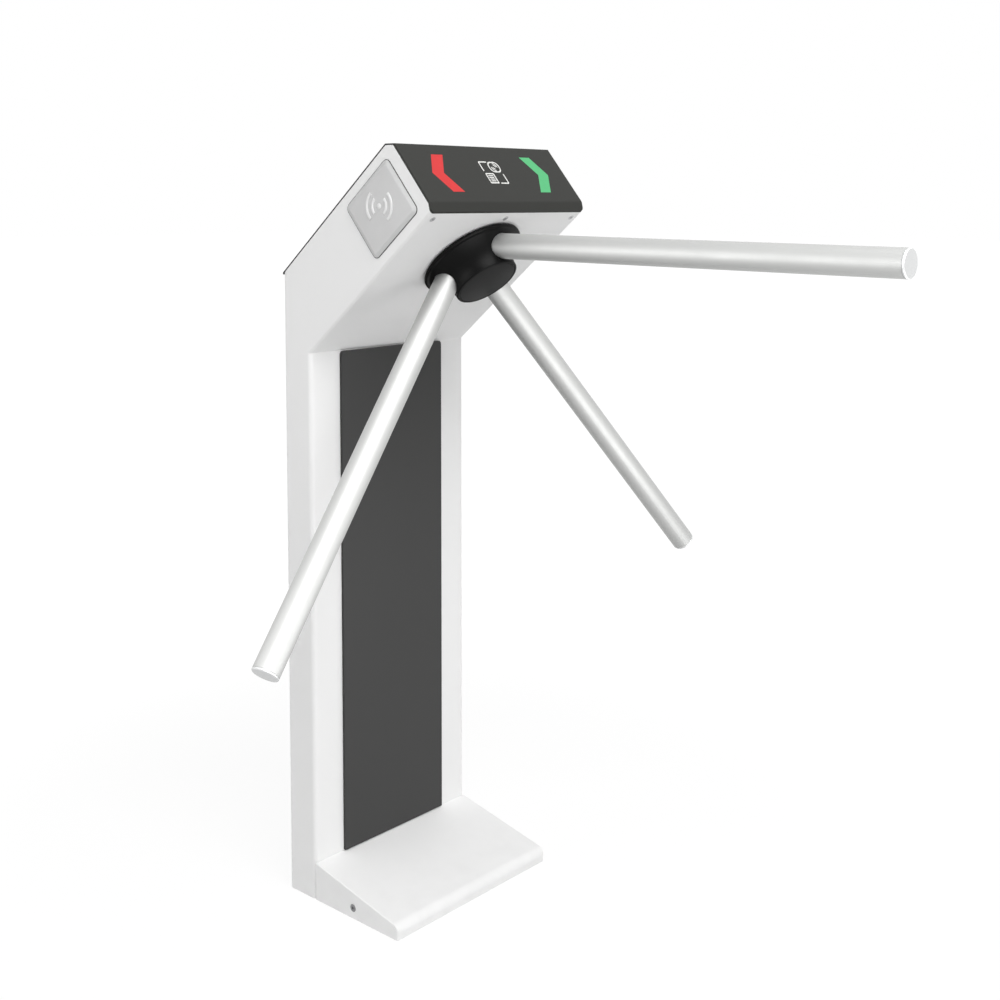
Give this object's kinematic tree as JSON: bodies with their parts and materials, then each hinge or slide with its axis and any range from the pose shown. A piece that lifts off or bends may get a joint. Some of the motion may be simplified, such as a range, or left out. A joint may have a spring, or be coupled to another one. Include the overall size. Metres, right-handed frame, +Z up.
{
  "type": "tripod turnstile",
  "caption": "Slim tripod turnstile: folded sheet column and foot, sloping head with arrow lamps, and straight tubular arms on an inclined hub.",
  "frame": {"origin": "on the floor, at the centre of the four anchor holes of the base plate", "axes": "+X the way the barrier arm points, out of the column into the passage; +Y the way people walk; +Z up"},
  "size_m": [0.7939, 0.8158, 0.993],
  "materials": {
    "white_coat": "white powder coat, satin",
    "dark_coat": "dark grey powder coat, satin",
    "lid_coat": "near-black powder coat, satin",
    "red_lens": "lit red diffuser",
    "green_lens": "lit green diffuser",
    "pad_plastic": "light grey moulding, satin",
    "hub_plastic": "black moulding, fine grain",
    "cap_plastic": "dark grey moulding, fine grain",
    "arm_metal": "satin brushed",
    "arm_cap_metal": "satin turned",
    "cast_metal": "die cast, bead blasted",
    "machined_steel": "turned and ground",
    "ring_steel": "ground and polished",
    "wheel_steel": "hardened, blued",
    "plate_steel": "zinc plated",
    "fastener_steel": "zinc plated",
    "black_fastener": "black oxide",
    "gear_bronze": "machined bronze",
    "motor_coat": "black paint, satin",
    "coil_coat": "zinc frame round a taped coil",
    "board_green": "green solder mask",
    "sensor_plastic": "black moulding",
    "supply_metal": "plain sheet",
    "terminal_plastic": "beige moulding",
    "rubber_black": "matt black",
    "loom_sleeve": "braided black sleeve",
    "clip_nylon": "natural nylon",
    "stud_brass": "plain brass"
  },
  "bodies": {
    "root": {"cabinet": "white_coat", "base_plate": "plate_steel", "cable_grommet": "rubber_black", "foot_cover": "white_coat", "foot_screws": "fastener_steel", "front_panel": "dark_coat", "panel_clips": "clip_nylon", "lid": "lid_coat", "lid_screws": "black_fastener", "end_panel": "dark_coat", "end_bracket": "plate_steel", "end_screws": "fastener_steel", "red_arrow_lens": "red_lens", "green_arrow_lens": "green_lens", "indicator_board": "board_green", "reader_pad_near": "pad_plastic", "reader_pad_far": "pad_plastic", "reader_board_near": "board_green", "reader_board_far": "board_green", "chassis_pillars": "fastener_steel", "chassis_plate": "plate_steel", "chassis_screws": "black_fastener", "bearing_housing": "cast_metal", "housing_screws": "black_fastener", "bearing_outer_rings": "ring_steel", "encoder_sensor": "sensor_plastic", "gearmotor": "motor_coat", "motor_screws": "black_fastener", "pawl_posts": "machined_steel", "pawl_springs": "machined_steel", "solenoid_near": "coil_coat", "solenoid_far": "coil_coat", "control_board": "board_green", "power_supply": "supply_metal", "terminal_block": "terminal_plastic", "earth_stud": "stud_brass", "wiring_loom": "loom_sleeve"},
    "rotor": {"hub_core": "cast_metal", "hub_shell": "hub_plastic", "hub_cap": "cap_plastic", "hub_bolt": "fastener_steel", "arm_bolts": "fastener_steel", "arm_1": "arm_metal", "arm_2": "arm_metal", "arm_3": "arm_metal", "arm_end_caps": "arm_cap_metal", "main_shaft": "machined_steel", "shaft_circlip": "black_fastener", "shaft_key": "machined_steel", "shaft_nut": "black_fastener", "bearing_inner_rings": "ring_steel", "bearing_balls": "ring_steel", "lock_wheel": "wheel_steel", "drive_gear": "gear_bronze", "encoder_disc": "machined_steel"},
    "pinion": {"pinion": "machined_steel"},
    "pawl_near": {"pawl_near": "wheel_steel"},
    "pawl_far": {"pawl_far": "wheel_steel"},
    "plunger_near": {"plunger_near": "machined_steel"},
    "plunger_far": {"plunger_far": "machined_steel"}
  },
  "joints": [
    {"name": "rotor_spin", "type": "hinge", "parent": "root", "child": "rotor", "pos_m": [0.08481, 0, 0.869], "axis": [-0.6428, 0, 0.766], "continuous": true},
    {"name": "pinion_spin", "type": "hinge", "parent": "root", "child": "pinion", "pos_m": [-0.00872, 0, 0.86845], "axis": [-0.6428, 0, 0.766], "continuous": true},
    {"name": "pawl_near_swing", "type": "hinge", "parent": "root", "child": "pawl_near", "pos_m": [0.04169, -0.07283, 0.89508], "axis": [0.6428, 0, -0.766], "range_deg": [0, 10], "stiffness_Nm_per_rad": 0.3, "springref_deg": -20.05},
    {"name": "pawl_far_swing", "type": "hinge", "parent": "root", "child": "pawl_far", "pos_m": [0.04169, 0.07283, 0.89508], "axis": [-0.6428, 0, 0.766], "range_deg": [0, 10], "stiffness_Nm_per_rad": 0.3, "springref_deg": -20.05},
    {"name": "plunger_near_slide", "type": "slide", "parent": "root", "child": "plunger_near", "axis": [-0.766, 0, -0.6428], "range_m": [0, 0.0039]},
    {"name": "plunger_far_slide", "type": "slide", "parent": "root", "child": "plunger_far", "axis": [-0.766, 0, -0.6428], "range_m": [0, 0.0039]}
  ],
  "couplings": [
    {"joint": "pinion_spin", "follows": "rotor_spin", "ratio": -5},
    {"joint": "plunger_near_slide", "follows": "pawl_near_swing", "m_per_rad": 0.0219},
    {"joint": "plunger_far_slide", "follows": "pawl_far_swing", "m_per_rad": 0.0219}
  ]
}
